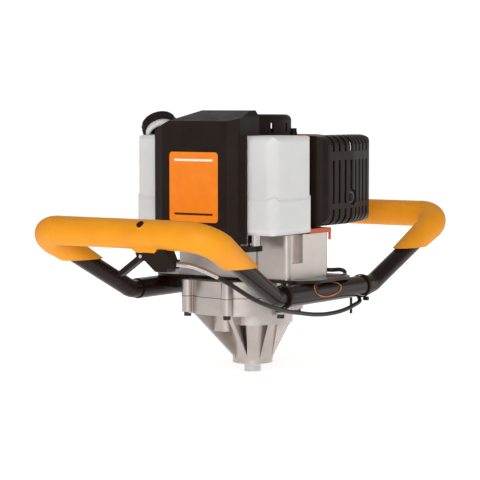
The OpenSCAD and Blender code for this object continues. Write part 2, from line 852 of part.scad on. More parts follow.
module fan_case() {
    neck_r = drum_boss_r + 1;
    step_x = 42;
    pocket_low = 18;
    color("silver") difference() {
        union() {
            up(plate_top) linear_extrude(fan_top - plate_top) fan_plan(0);
            translate([fan_corner - fan_left, -fan_front - 2.5, plate_top])
                cube([fan_left - fan_corner + step_x, fan_front, fan_top - plate_top]);
        }
        up(plate_top + fan_floor) difference() {
            cylinder(r = fan_in_r, h = big);
            cylinder(r = neck_r, h = drum_seat_z + drum_brg_w + 0.5 - plate_top - fan_floor);
        }
        up(drum_seat_z) cylinder(d = drum_brg_od, h = big);
        up(plate_top - 1) cylinder(d = drum_brg_id + 6, h = big);
        base_screw_places() up(plate_top - 1) cylinder(r = case_screw_d / 2 + 0.25, h = fan_floor + 2);
        // Recess beside the rounded corner post
        translate([fan_right - 7, -fan_front + 9, plate_top + pocket_low]) cube([20, 22, big]);
        // Hollows in the corners, open upwards, that keep the casting even
        for (x = [-fan_left + fan_wall, fan_in_r + fan_wall + 5.5], y = [-22, 4])
            translate([x, y, plate_top + fan_floor]) cube([fan_left - fan_in_r - 2 * fan_wall - 5.5, 14, big]);
        // Air inlets on the left side
        for (i = [0 : 4]) translate([-fan_left - 1, -36 + 12 * i, plate_top + fan_floor + 8])
            cube([fan_left - 20, 6, 22]);
        up(fan_top - 14) {
            ear_places() cylinder(r = case_screw_d / 2 + fit_clear, h = 20);
            foot_places() cylinder(r = case_screw_d / 2 + fit_clear, h = 20);
        }
    }
}

module base_screw_places() {
    for (a = [45 : 90 : 315]) translate([0, -8, 0]) rotate(a) translate([29, 0, 0]) children();
}

module ear_places() {
    for (x = [-ear_x, ear_x], y = ear_y) translate([x, y, 0]) children();
}

module foot_places() {
    for (x = [6.5 - fan_left, fan_right - 10], y = foot_y) translate([x, y, 0]) children();
}

module engine_screws() {
    bite = 13;
    color("dimgray") {
        base_screw_places() up(plate_top + fan_floor)
            low_screw(plate_top + fan_floor - case_top + top_wall - 1.5);
        ear_places() up(fan_top + flange_t) low_screw(flange_t + bite);
        foot_places() up(fan_top + foot_h - 3) low_screw(foot_h - 3 + bite);
    }
}

// Low-head screw with its head above the origin
module low_screw(shank) {
    cylinder(r = head_r, h = 3);
    up(-shank) cylinder(d = case_screw_d, h = shank);
}

// Engine block

module block_outline() {
    circle(crankcase_r);
    translate([-block_x, 0]) square([2 * block_x, block_y]);
}

module block_bores() {
    up(cavity_z) cylinder(r = cavity_r, h = cavity_h);
    up(cavity_z - crank_brg_w) cylinder(d = crank_brg_od, h = cavity_h + 2 * crank_brg_w);
    up(fan_top - 1) cylinder(d = crank_brg_id + 3, h = big);
    up(cyl_z) rotate([-90, 0, 0]) cylinder(d = bore_d + 0.6, h = block_y + 1);
}

module crankcase_lower() {
    color("silver") difference() {
        union() {
            up(fan_top) linear_extrude(flange_t) {
                circle(fan_front);
                round_rect(-foot_in + 1, ear_y[0] - 8, foot_in - 1, ear_y[1] + 4.7, 7);
            }
            up(fan_top) linear_extrude(cyl_z - fan_top) block_outline();
        }
        block_bores();
        ear_places() up(fan_top - 1) cylinder(d = case_screw_d + 0.5, h = flange_t + 2);
        // Outlet for the cooling air, up into the cylinder cover
        translate([-20, block_y + 2, fan_top - 1]) cube([40, 4, flange_t + 2]);
    }
}

module crankcase_upper() {
    color("silver") difference() {
        union() {
            up(cyl_z) linear_extrude(case_rise) block_outline();
            up(engine_top - 5) cylinder(r = starter_r, h = 5);
            lug_places() up(engine_top - 5) cylinder(r = lug_r + 1, h = 5);
        }
        block_bores();
    }
}

module piston() {
    color("lightgray") up(cyl_z) difference() {
        translate([0, tdc_y - skirt, 0]) rotate([-90, 0, 0]) cylinder(r = bore_d / 2 - run_clear, h = skirt + crown);
        translate([0, tdc_y - skirt - 1, 0]) rotate([-90, 0, 0])
            cylinder(r = bore_d / 2 - 3, h = skirt + 1 + small_end_r + 0.7);
        translate([0, tdc_y, -bore_d]) cylinder(r = piston_pin_d / 2 + fit_clear, h = 2 * bore_d);
        for (k = [0, 1]) translate([0, tdc_y + crown - 4 - 3.5 * k, 0]) rotate([90, 0, 0])
            tube(bore_d, bore_d / 2 - 1.2, 1.5);
    }
}

module piston_pin() {
    pin_len = bore_d - 4;
    color("gainsboro") translate([0, tdc_y, cyl_z - pin_len / 2]) tube(piston_pin_d / 2, piston_pin_d / 2 - 2, pin_len);
}

module connecting_rod() {
    color("gray") up(cyl_z - rod_t / 2) difference() {
        union() {
            translate([0, throw, 0]) cylinder(r = big_end_r, h = rod_t);
            translate([0, tdc_y, 0]) cylinder(r = small_end_r, h = rod_t);
            translate([-5, throw, 2]) cube([10, rod_len, rod_t - 4]);
        }
        translate([0, throw, -1]) cylinder(d = crank_pin_d + 2 * run_clear, h = rod_t + 2);
        translate([0, tdc_y, -1]) cylinder(d = piston_pin_d + 2 * run_clear, h = rod_t + 2);
    }
}

module crank_pin() {
    color("gainsboro") translate([0, throw, cyl_z - rod_t / 2]) cylinder(d = crank_pin_d, h = rod_t);
}

module cylinder_block() {
    fin_first = block_y + 12;
    fin_step = (head_y + head_t - fin_t - fin_first) / (fin_count - 1);
    color("silver") up(cyl_z) difference() {
        union() {
            translate([0, block_y, 0]) rotate([-90, 0, 0]) cylinder(r = barrel_r, h = head_y + head_t - block_y);
            translate([0, block_y + 7, 0]) rotate([90, 0, 0]) linear_extrude(7)
                round_rect(-30, -30, 30, 30, 6);
            for (i = [0 : fin_count - 1]) translate([0, fin_first + fin_step * i + fin_t, 0]) rotate([90, 0, 0])
                linear_extrude(fin_t) round_rect(-fin_w / 2, -fin_h / 2, fin_w / 2, fin_h / 2, 10);
            translate([-port_x, port_y, 0]) rotate([0, 90, 0]) cylinder(r = port_r, h = 2 * port_x);
            for (x = [-port_x, port_x - 3]) translate([x, port_y, 0]) rotate([90, 0, 90]) linear_extrude(3)
                round_rect(-20, -14, 20, 14, 5);
        }
        translate([0, block_y - 1, 0]) rotate([-90, 0, 0]) cylinder(d = bore_d, h = head_y - block_y + 1);
        translate([-big / 2, port_y, 0]) rotate([0, 90, 0]) cylinder(r = 8, h = big);
        translate([0, head_y - 1, 0]) rotate([-90, 0, 0]) cylinder(r = 7 + fit_clear, h = head_t + 2);
    }
}

module spark_plug() {
    seat = head_y + head_t;
    color("whitesmoke") up(cyl_z) {
        translate([0, seat - head_t + 1, 0]) rotate([-90, 0, 0]) cylinder(r = 7, h = head_t - 1);
        translate([0, seat, 0]) rotate([-90, 0, 0]) cylinder(r = 10.5, h = 9, $fn = 6);
        translate([0, seat + 9, 0]) rotate([-90, 0, 0]) cylinder(r1 = 6, r2 = 4.5, h = 20);
        translate([0, seat + 29, 0]) rotate([-90, 0, 0]) cylinder(r = 3, h = 6);
    }
}

module plug_cap() {
    seat = head_y + head_t + 13;
    color("black") translate([0, seat, cyl_z]) rotate([-90, 0, 0]) difference() {
        rotate_extrude() polygon([[0, 0], [8.5, 0], [8.5, 4], [9.5, 4], [9.5, 8], [8.5, 8], [8.5, 20], [6, 27], [0, 27]]);
        up(-1) cylinder(r = 6.4, h = 24);
    }
}

module ignition_coil() {
    color("dimgray") translate([-fan_front + 1, 0, fan_top + flange_t]) {
        translate([0, -18, 0]) cube([fan_front - crankcase_r - 2, 20, 16]);
        translate([3, -16, 16]) cube([8, 16, 5]);
    }
}

// Cylinder cover: a hood whose top falls to the back, open towards the crankcase
module cover_box(inset) {
    r = 9;
    rotate([90, 0, 0]) up(-cover_back + inset) linear_extrude(cover_back - cover_front)
        round_rect(inset - cover_left, cover_low + inset, cover_right - inset, cover_top + 8 - inset, r - inset);
}

module cover_slope(inset) {
    translate([-big / 2, cover_front, cover_top - inset]) rotate([-cover_fall, 0, 0])
        translate([0, -big / 2, 0]) cube([big, big, 60]);
}

// Foot of the cover on the fan case, with a link back to the hood and a tab down its corner
module cover_foot(side, reach) {
    back = fan_back + 1.5;
    mirror([side, 0, 0]) up(fan_top) {
        linear_extrude(foot_h) polygon([[foot_in, -8], [reach, -8], [reach, back], [cover_left + 3, back],
            [cover_left + 3, cover_front + 10], [cover_left - 10, cover_front + 10], [cover_left - 10, cover_front + 2],
            [cover_left - 4, cover_front - 2], [cover_left - 4, back - 7], [foot_in, back - 7]]);
        translate([reach - 2.6, back - 2.4, -9]) cube([2.4, 2.2, 10]);
    }
}

module cylinder_cover() {
    post_r = 5;
    post_y = cover_front + 22;
    color("chocolate") difference() {
        union() {
            difference() {
                cover_box(0);
                difference() {
                    translate([0, -0.01, 0]) cover_box(cover_wall);
                    cover_slope(cover_wall);
                }
            }
            // Posts that stand the cover off the fins
            translate([0, post_y, cyl_z + fin_h / 2 + gap]) cylinder(r = post_r, h = cover_top - cyl_z - fin_h / 2 - 3);
            translate([0, post_y, cover_low + 1]) cylinder(r = post_r, h = cyl_z - fin_h / 2 - gap - cover_low - 1);
            cover_foot(0, fan_right + 1.5);
            cover_foot(1, fan_left + 1.5);
        }
        cover_slope(0);
        translate([-big / 2, port_y, cyl_z]) rotate([90, 0, 90]) linear_extrude(big) round_rect(-24, -18, 24, 18, 6);
        translate([0, cover_back - 10, cyl_z]) rotate([-90, 0, 0]) cylinder(r = 15, h = 20);
        // Outlets for the cooling air in the back wall
        for (x = [-38 : 11 : 39], side = [-1, 1]) translate([x - 3, cover_back - 10, cyl_z + 30 * side - 8])
            cube([6, 20, 16]);
        foot_places() {
            up(fan_top - 1) cylinder(r = case_screw_d / 2 + gap, h = foot_h + 2);
            up(fan_top + foot_h - 3) cylinder(r = head_r + gap, h = 10);
        }
    }
}

// Intake

module intake_flange() {
    color("dimgray") translate([-carb_x, port_y, cyl_z]) rotate([0, 90, 0]) tube(13, 8, heat_block_t);
}

module carburettor() {
    low = port_y - carb_w / 2;
    color("silver") difference() {
        union() {
            translate([-base_x, low, cyl_z - carb_h / 2]) cube([carb_t, carb_w, carb_h]);
            translate([-base_x + 4, port_y, cyl_z - carb_h / 2 - 3]) cylinder(r = 3, h = 3);
            // Cable stop beside the throttle lever
            translate([-base_x + 6, low - 10, cyl_z + carb_h / 2 - 6]) cube([12, 12, 6]);
        }
        translate([-base_x - 1, port_y, cyl_z]) rotate([0, 90, 0]) cylinder(r = 9, h = carb_t + 2);
        translate([-base_x + 12, port_y, cyl_z]) cylinder(r = 3 + run_clear, h = carb_h);
        translate([-base_x + 12, port_y - 8, cyl_z - carb_h / 2 - 1]) cylinder(r = 6 + run_clear, h = 9);
    }
}

module throttle_lever() {
    top = cyl_z + carb_h / 2;
    color("gainsboro") {
        translate([-base_x + 12, port_y, cyl_z + 10]) cylinder(r = 3, h = carb_h / 2 - 10 + gap);
        translate([-base_x + 12, port_y, top + gap]) cylinder(r = 6, h = 2.5);
        translate([-base_x + 9.5, port_y - 20, top + gap]) cube([5, 20, 2.5]);
        translate([-base_x + 12, port_y - 20, top + gap]) cylinder(r = 3.5, h = 5);
    }
}

module primer_bulb() {
    stem_top = cyl_z - carb_h / 2 + 3;
    color("tomato") translate([-base_x + 12, port_y - 8, 0]) {
        up(stem_top - 11) cylinder(r = 6, h = 11);
        up(stem_top - 15.5) cylinder(r = 7.5, h = 4.5);
        up(stem_top - 15.5) difference() {
            sphere(r = 7.5);
            translate([-10, -10, 0]) cube(20);
        }
    }
}

module choke_lever() {
    at_y = port_y + filter_w / 2 - 8;
    color("black") translate([-base_x + gap, at_y, cyl_z - 16]) rotate([0, 90, 0]) {
        up(-base_t - gap + 0.5) cylinder(r = 3, h = base_t + gap);
        cylinder(r = 6, h = 3);
        translate([0, -3, 0]) cube([24, 6, 3]);
        translate([22, -5, 0]) cube([4, 10, 7]);
    }
}

module filter_outline(inset) {
    round_rect(port_y - filter_w / 2 + inset, cyl_z - filter_h / 2 + inset,
        port_y + filter_w / 2 - inset, cyl_z + filter_h / 2 - inset, 8 - inset);
}

module filter_slab(x, t, inset) {
    translate([x, 0, 0]) rotate([90, 0, 90]) linear_extrude(t) filter_outline(inset);
}

module air_filter_base() {
    at_y = port_y + filter_w / 2 - 8;
    color("black") difference() {
        filter_slab(-base_x - base_t, base_t, 0);
        translate([-base_x - 10, port_y, cyl_z]) rotate([0, 90, 0]) cylinder(r = 9, h = 20);
        translate([-base_x - 10, at_y, cyl_z - 16]) rotate([0, 90, 0]) cylinder(r = 3 + run_clear, h = 20);
    }
}

module air_filter_element() {
    color("darkslategray") difference() {
        filter_slab(-base_x - base_t - 18, 18, 5);
        filter_slab(-base_x - base_t - 19, 20, 7.9);
    }
}

module air_filter_cover() {
    outer = -base_x - base_t - filter_t;
    color("black") difference() {
        filter_slab(outer, filter_t, 0);
        filter_slab(outer + 3, filter_t, 3);
        for (i = [-3 : 3]) translate([outer - 1, port_y - 18, cyl_z + 7 * i - 1.5]) cube([5, 36, 3]);
    }
}

// Exhaust

module muffler() {
    color("gray") {
        difference() {
            union() {
                translate([muffler_x, 0, 0]) rotate([90, 0, 90]) linear_extrude(muffler_t)
                    round_rect(outlet_y + 2 - muffler_w / 2, cyl_z - muffler_h / 2,
                        outlet_y + 2 + muffler_w / 2, cyl_z + muffler_h / 2, 10);
                translate([muffler_x + muffler_t / 2 - 1.5, 0, 0]) rotate([90, 0, 90]) linear_extrude(3)
                    round_rect(outlet_y - 1 - muffler_w / 2, cyl_z - muffler_h / 2 - 3,
                        outlet_y + 5 + muffler_w / 2, cyl_z + muffler_h / 2 + 3, 12);
                translate([port_x, port_y, cyl_z]) rotate([0, 90, 0]) cylinder(r = 11, h = muffler_x - port_x + 1);
                translate([muffler_x + muffler_t - 1, outlet_y, outlet_z]) rotate([0, 90, 0])
                    cylinder(r = outlet_r, h = 12);
            }
            translate([port_x - 1, port_y, cyl_z]) rotate([0, 90, 0]) cylinder(r = 8, h = muffler_x - port_x + 10);
            translate([muffler_x + muffler_t - 8, outlet_y, outlet_z]) rotate([0, 90, 0])
                cylinder(r = outlet_r - 1.5, h = 20);
        }
    }
}

// Plan of the muffler guard: straight side, then turned in towards the back
module guard_plan(inset) {
    side = guard_right - inset;
    front = guard_front + inset;
    back = guard_back - inset;
    left = cover_right + gap - inset;
    r = max(guard_round - inset, 1);
    back_x = side - (back - guard_turn_y) * tan(guard_turn);
    polygon(concat([[left, front]],
        [for (a = [-90 : 15 : 0]) [side - r + r * cos(a), front + r + r * sin(a)]],
        [[side, guard_turn_y]],
        [for (a = [0 : 15 : 90])
            [back_x - r + r * cos(a) + (r - r * sin(a)) * tan(guard_turn), back - r + r * sin(a)]],
        [[left, back]]));
}

// Section of the guard, rounded along its upper and lower outer edges
module guard_section(inset) {
    left = cover_right - 40;
    low = guard_low + inset;
    high = guard_high - inset;
    side = guard_right - inset;
    r = max(guard_round - inset, 1);
    translate([left, low]) square([side - r - left, high - low]);
    translate([left, low + r]) square([side - left, high - low - 2 * r]);
    for (z = [low + r, high - r]) translate([side - r, z]) circle(r);
}

module guard_body(inset) {
    intersection() {
        up(guard_low - 10) linear_extrude(guard_high - guard_low + 20) guard_plan(inset);
        translate([0, guard_back + 10, 0]) rotate([90, 0, 0]) linear_extrude(guard_back - guard_front + 20)
            guard_section(inset);
        translate([guard_right, guard_turn_y, 0]) rotate(guard_turn) translate([0.3 - guard_right, big / 2, 0])
            rotate([90, 0, 0]) linear_extrude(big) guard_section(inset);
        rotate([90, 0, 90]) linear_extrude(big) round_rect(guard_front - 30, guard_low + inset - 0.3,
            guard_back - inset + 0.3, guard_high - inset + 0.3, guard_round - inset);
    }
}

// Places of a row of slots along the straight and the turned side
module slot_places() {
    first_y = guard_front + 22;
    for (i = [0 : slot_count - 1]) {
        y = first_y + slot_pitch * i;
        past = max(0, y - guard_turn_y);
        translate([guard_right - past * sin(guard_turn), min(y, guard_turn_y) + past * cos(guard_turn), 0])
            rotate(past > 0 ? guard_turn : 0) children();
    }
}

module muffler_guard() {
    row_low = guard_low + 0.225 * guard_h;
    row_high = guard_high - 0.272 * guard_h;
    reach = 18;
    color("black") difference() {
        guard_body(0);
        guard_body(guard_wall);
        slot_places() {
            translate([-reach, -slot_w / 2, row_low + 2]) cube([2 * reach, slot_w, row_high - row_low - 2]);
            translate([-reach, -slot_w / 2, row_high + 10]) cube([2 * reach, slot_w, 60]);
            translate([-reach, -slot_w / 2, row_low - 54]) cube([2 * reach, slot_w, 50]);
        }
        translate([guard_right - 20, outlet_y, outlet_z]) rotate([0, 90, 0]) cylinder(r = outlet_r + 2.5, h = 40);
    }
}

// Starter

module lug_places() {
    for (a = [34, 122, 262]) rotate(a) translate([starter_r + lug_r - 1, 0, 0]) children();
}

module starter_housing() {
    r = starter_round;
    color("black") difference() {
        union() {
            up(engine_top) rotate_extrude() {
                square([starter_r - r, starter_h]);
                square([starter_r, starter_h - r]);
                translate([starter_r - r, starter_h - r]) circle(r);
            }
            lug_places() up(engine_top + 0.5) cylinder(r = lug_r, h = lug_h);
        }
        difference() {
            up(engine_top - 1) cylinder(r = starter_r - starter_wall, h = starter_h - starter_wall + 1);
            up(pulley_z - 1) cylinder(r = post_r, h = starter_h);
        }
        // Air slots round the side and in the top
        for (i = [0 : 11]) rotate(30 * i + 4) translate([starter_r - 8, -2, engine_top + 20])
            cube([16, 4, 11]);
        for (i = [0 : 8]) rotate(40 * i) translate([15, -1.5, starter_top - 10]) cube([20, 3, 20]);
        rotate(rope_turn) translate([starter_r - 10, 0, rope_z]) rotate([0, 90, 0]) cylinder(r = 3.5, h = 20);
    }
}

module starter_pulley() {
    r = pulley_d / 2;
    color("dimgray") up(pulley_z) difference() {
        rotate_extrude() {
            square([r, 2.5]);
            translate([0, pulley_h - 2.5]) square([r, 2.5]);
            square([r - 5, pulley_h]);
        }
        up(-1) cylinder(r = post_r + run_clear, h = pulley_h + 2);
    }
}

// Pull grip: a rounded bar across the rope's stub
module starter_grip() {
    stand = starter_r + gap + pull_d / 2;
    color("black") rotate(rope_turn) translate([stand, 0, rope_z]) {
        rotate([90, 0, 0]) up(-pull_len / 2 + pull_d / 2) cylinder(d = pull_d, h = pull_len - pull_d);
        for (side = [-1, 1]) translate([0, side * (pull_len - pull_d) / 2, 0]) sphere(d = pull_d);
        translate([-stand + starter_r - starter_wall, 0, 0]) rotate([0, 90, 0])
            cylinder(r = 3, h = stand - starter_r + starter_wall);
    }
}

// Fuel tank

module tank_body(inset, low, high, draw) {
    left = tank_left - inset - draw;
    right = tank_right - inset - draw;
    front = tank_front - inset - draw;
    back = tank_back + inset + draw;
    r = max(tank_corner - inset, 1);
    e = max(tank_round - inset, 1);
    intersection() {
        up(low + inset) linear_extrude(high - low - 2 * inset) round_rect(-left, -front, right, -back, r);
        rotate([90, 0, 0]) linear_extrude(big) round_rect(-left, low + inset, right, high - inset, e);
        rotate([90, 0, 90]) up(-big / 2) linear_extrude(big)
            round_rect(-front, low + inset, -back, high - inset, e);
    }
}

module tank_form(inset) {
    difference() {
        union() {
            tank_body(inset, tank_z, tank_z + tank_step_h, 0);
            tank_body(inset, tank_z, tank_top, tank_step);
        }
        cylinder(r = tank_relief + inset, h = big);
        // Round seat that clears the fuel cap
        neck_frame() up(-neck_seat - inset) cylinder(r = cap_d / 2 + 4 + inset, h = 60);
    }
}

// Frame of the filler neck, whose +Z points along the neck
module neck_frame() {
    translate(cap_at) rotate([0, 0, neck_yaw]) rotate([0, neck_tilt, 0]) children();
}

module fuel_tank() {
    pad = 18;
    color("ghostwhite") {
        difference() {
            union() {
                tank_form(0);
                neck_frame() up(-neck_len) cylinder(d = neck_d, h = neck_len);
            }
            tank_form(tank_wall);
            neck_frame() up(-neck_len - 1) cylinder(d = neck_d - 6, h = neck_len + 2);
        }
        // Pads that stand the tank on the fan case
        for (x = [-fan_left + 6, fan_right - 6 - pad]) translate([x, -fan_front + 4, fan_top])
            cube([pad, 8, tank_gap + 1]);
    }
}

module fuel_cap() {
    color("black") neck_frame() difference() {
        union() {
            up(-cap_h + 3.5) cylinder(d = cap_d, h = cap_h);
            for (i = [0 : 17]) rotate(20 * i) translate([cap_d / 2 - 0.2, 0, -cap_h + 4])
                cylinder(r = 1.3, h = cap_h - 2.5);
        }
        up(-cap_h + 2.5) cylinder(r = neck_d / 2 + run_clear, h = cap_h - 2.2);
    }
}

// Tank guard: outlines from the front, the side and above cut each other

module shield_front_view(inset) {
    left = shield_left - inset;
    right = shield_right - inset;
    top = shield_crest - inset;
    polygon([[-left, shield_low], [-left, shield_brow - shield_corner / 2 - inset],
        [-left + shield_corner, shield_brow - inset / 2], [-left + 2 * shield_corner - 2, top],
        [right - 5, top], [right, top - 7], [right, shield_low]]);
}

module shield_side_view(inset) {
    front = shield_front - inset;
    polygon([[-front, shield_low], [-front, shield_brow - inset], [-front + shield_slope, shield_crest - inset],
        [-shield_back + inset - 1, shield_crest - inset], [-shield_back - 1 + inset, shield_low]]);
}

module shield_plan(inset) {
    front = shield_front - inset;
    right = shield_right - inset;
    polygon([[-shield_left + inset, -front + 5], [-shield_left + inset + shield_bevel, -front],
        [right - shield_chamfer, -front], [right, -front + shield_chamfer],
        [right, -shield_back], [-shield_left + inset, -shield_back]]);
}

module shield_body(inset) {
    intersection() {
        rotate([90, 0, 0]) linear_extrude(big) shield_front_view(inset);
        rotate([90, 0, 90]) up(-big / 2) linear_extrude(big) shield_side_view(inset);
        up(shield_low - 5) linear_extrude(big) shield_plan(inset);
    }
}

module tank_guard() {
    foot_t = 6;
    foot_z = tank_z - spacer_h - foot_t;
    color("black") {
        difference() {
            shield_body(0);
            up(-0.1) shield_body(shield_wall);
            // The tank stands behind the front shell and under the roof
            translate([-big / 2, -tank_front - gap, shield_low - 10]) cube([big, big, tank_top + gap - shield_low + 10]);
            cylinder(r = tank_relief, h = big);
        }
        // Lip that closes the gap to the tank beside the right edge
        translate([shield_right - 2, -tank_front - gap - 2.6, shield_low + 8])
            cube([shield_lip + 2, 2.4, tank_top + 2 - shield_low - 8]);
        // Feet under the tank, one on each side
        for (side = [-1, 1]) translate([side * spacer_x, -spacer_y, foot_z]) difference() {
            front = side > 0 ? shield_front - shield_chamfer + 2 : shield_front - 5.5;
            union() {
                cylinder(d = spacer_d + 4, h = foot_t);
                translate([-spacer_d / 2 + 0.5 - (side > 0 ? 6 : 0), spacer_y - front, 0])
                    cube([spacer_d + (side > 0 ? 5 : 0.5), front - spacer_y, foot_t]);
            }
            up(-1) cylinder(r = 3, h = foot_t + 2);
        }
    }
}

module tank_spacers() {
    color("gainsboro") for (side = [-1, 1]) translate([side * spacer_x, -spacer_y, tank_z - spacer_h]) difference() {
        cylinder(d = spacer_d, h = spacer_h);
        up(-1) cylinder(r = 3, h = spacer_h + 2);
    }
}

// Handles

module plate_outline() {
    round_rect(-plate_x, -plate_y, plate_x, plate_y, plate_corner);
}

module strap_bolt_places() {
    for (x = [-strap_x, strap_x], y = [-strap_bolt_y, strap_bolt_y]) translate([x, y, 0]) children();
}

module handle_plate() {
    color("black") up(case_top) difference() {
        linear_extrude(plate_t) plate_outline();
        up(-1) cylinder(r = drum_boss_r, h = plate_t + 2);
        strap_bolt_places() {
            up(-1) cylinder(r = strap_bolt_d / 2 + gap, h = plate_t);
            up(plate_t - sink_h) cylinder(r1 = strap_bolt_d / 2 + gap, r2 = strap_bolt_d / 2 + gap + sink_h + 1, h = sink_h + 1);
        }
        base_screw_places() up(-1) cylinder(d = case_screw_d + 0.5, h = plate_t + 2);
    }
}

module handle_sleeves() {
    color("black") for (side = [-1, 1]) translate([side * sleeve_x, sleeve_len / 2, sleeve_z]) rotate([90, 0, 0])
        tube(sleeve_r, sleeve_r - sleeve_wall, sleeve_len);
}

// Saddles between the plate and the inner sides of the sleeves
module sleeve_straps() {
    inner = strap_x - strap_bolt_d + 2;
    low = sleeve_z - 2;
    color("black") for (side = [0, 1]) mirror([side, 0, 0]) difference() {
        translate([inner, -strap_y, low]) cube([sleeve_x - 3 - inner, 2 * strap_y, case_top - low]);
        translate([sleeve_x, -big / 2, sleeve_z]) rotate([-90, 0, 0]) cylinder(r = sleeve_r + fit_clear, h = big);
        for (y = [-strap_bolt_y, strap_bolt_y]) translate([strap_x, y, low - 1])
            cylinder(r = strap_bolt_d / 2 + fit_clear, h = big);
    }
}

module handle_bolts() {
    r = strap_bolt_d / 2;
    color("dimgray") strap_bolt_places() up(plate_top) difference() {
        union() {
            up(-sink_h) cylinder(r1 = r, r2 = r + sink_h, h = sink_h);
            up(-4 * r) cylinder(r = r, h = 4 * r - sink_h / 2);
        }
        up(-1.8) cylinder(r = 0.6 * r, h = 3, $fn = 6);
    }
}

// Bend of a round bar from the frame's +Z towards its +X
module bent_bar(r, angle, bar_r) {
    translate([r, 0, 0]) rotate([90, 0, 180]) rotate_extrude(angle = angle) translate([r, 0]) circle(bar_r);
}

// Frame at the end of such a bend
module after_bend(r, angle) {
    translate([r, 0, 0]) rotate([0, angle, 0]) translate([-r, 0, 0]) children();
}

// Round bar from a sleeve up to the grip's corner; the leg tapers to low_r at its foot
module handle_side(bar_r, extra, low_r) {
    run = bend_y - bend_run - plug_y;
    translate([sleeve_x, -plug_y, sleeve_z]) rotate([90, 0, 0]) rotate(90 - splay) {
        up(-extra) cylinder(r = bar_r, h = run + extra);
        up(run) {
            bent_bar(bend_r, rise_angle, bar_r);
            after_bend(bend_r, rise_angle) {
                up(-1) cylinder(r1 = low_r - hair, r2 = bar_r - hair, h = rise_len + 1);
                up(rise_len) rotate(atan2(cos(splay), -cos(rise_angle) * sin(splay)))
                    bent_bar(corner_r, corner_turn, bar_r);
            }
        }
    }
}

module handle_bar(bar_r, extra, low_r) {
    top_half = grip_x - corner_run + 0.5;
    for (side = [0, 1]) mirror([side, 0, 0]) handle_side(bar_r, extra, low_r);
    translate([-top_half, -grip_y, grip_z]) rotate([0, 90, 0]) cylinder(r = bar_r - hair, h = 2 * top_half);
}

module handle_tube() {
    difference() {
        handle_bar(tube_d / 2, 0, tube_d / 2);
        handle_bar(tube_d / 2 - tube_wall, 1, tube_d / 2 - tube_wall);
    }
}

// Soft grip over the upper part of a handle, cut level at its ends
module grip() {
    thin = tube_d / 2 + grip_lip;
    tip = (grip_drop + thin) / sin(rise_angle) / cos(splay);
    low_r = thin - (grip_d / 2 - thin) * (rise_len / tip - 1);
    difference() {
        handle_bar(grip_d / 2, 0, low_r);
        handle_bar(tube_d / 2 + run_clear, 1, tube_d / 2 + run_clear);
        translate([-big / 2, -big, grip_end_z - big]) cube([big, big, big]);
    }
}

module handle_front() {
    color("black") handle_tube();
}

module handle_rear() {
    color("black") mirror([0, 1, 0]) handle_tube();
}

// Frame on the grip's skin where the stop button stands, with +Z outwards
module button_frame() {
    translate([button_x, -grip_y, grip_z]) rotate([button_turn, 0, 0]) children();
}

module grip_front() {
    color("orange") difference() {
        union() {
            grip();
            translate([trigger_x, -grip_y + housing_w / 2, 0]) rotate([90, 0, 0]) linear_extrude(housing_w)
                polygon([[-15, bulge_top], [-15, bulge_z + 5], [-6.5, bulge_z], [19, bulge_z], [23, bulge_z + 5], [23, bulge_top]]);
        }
        button_frame() up(tube_d / 2 - 1) cylinder(d = button_d + 2 * run_clear, h = big);
    }
}

module grip_rear() {
    color("orange") mirror([0, 1, 0]) grip();
}

module stop_button() {
    color("black") button_frame() {
        up(button_r - 3) cylinder(d = button_d, h = 3.8);
        up(button_r + 0.8) cylinder(d1 = button_d, d2 = button_d - 2, h = 0.7);
    }
}

// Throttle

module housing_profile() {
    k = housing_len / 41;
    low = trigger_z - 15.7;
    translate([trigger_x, 0]) polygon([[-7, bulge_z - gap], [-3, trigger_z - 4.5], [6, trigger_z - 4.5],
        [20 * k, low], [34.5 * k, low], [36.5 * k, trigger_z - 12], [housing_len, trigger_z - 12],
        [housing_len, trigger_z - 2.5], [38 * k, trigger_z - 2.5], [33 * k, bulge_z + 3.8], [24.5 * k, bulge_z + 3.8],
        [19.5 * k, bulge_z - gap]]);
}

module throttle_housing() {
    color("black") difference() {
        translate([0, -grip_y + housing_w / 2, 0]) rotate([90, 0, 0]) linear_extrude(housing_w) housing_profile();
        translate([-big / 2, -grip_y, grip_z]) rotate([0, 90, 0]) cylinder(r = grip_d / 2 + 0.3, h = big);
        // Slot for the trigger
        translate([0, -grip_y - trigger_w / 2 - gap, 0]) cube([trigger_x + 9, trigger_w + 2 * gap, bulge_z - gap + 1]);
        translate([trigger_x, -grip_y + big / 2, trigger_z]) rotate([90, 0, 0]) cylinder(r = trigger_pin_d / 2 + fit_clear, h = big);
        translate([elbow_at.x - 15, elbow_at.y, elbow_at.z]) rotate([0, 90, 0]) cylinder(d = elbow_d + 0.2, h = 30);
    }
}

module throttle_trigger() {
    thick = 6;
    color("black") translate([trigger_x, -grip_y, trigger_z]) rotate([90, 0, 0]) difference() {
        up(-trigger_w / 2) linear_extrude(trigger_w) {
            circle(trigger_hub_r);
            rotate(180 + trigger_slope) translate([0, -thick / 2 - 1]) square([trigger_len, thick]);
        }
        up(-trigger_w) cylinder(r = trigger_pin_d / 2 + run_clear, h = 2 * trigger_w);
    }
}

module trigger_pin() {
    color("silver") translate([trigger_x, -grip_y + housing_w / 2, trigger_z]) rotate([90, 0, 0])
        cylinder(d = trigger_pin_d, h = housing_w);
}

module cable_elbow() {
    color("gainsboro") swept_tube(curve(elbow_route, 3), elbow_d / 2, 12);
}

module throttle_cable() {
    color("black") swept_tube(curve(cable_route, 3), cable_d / 2, 8);
}

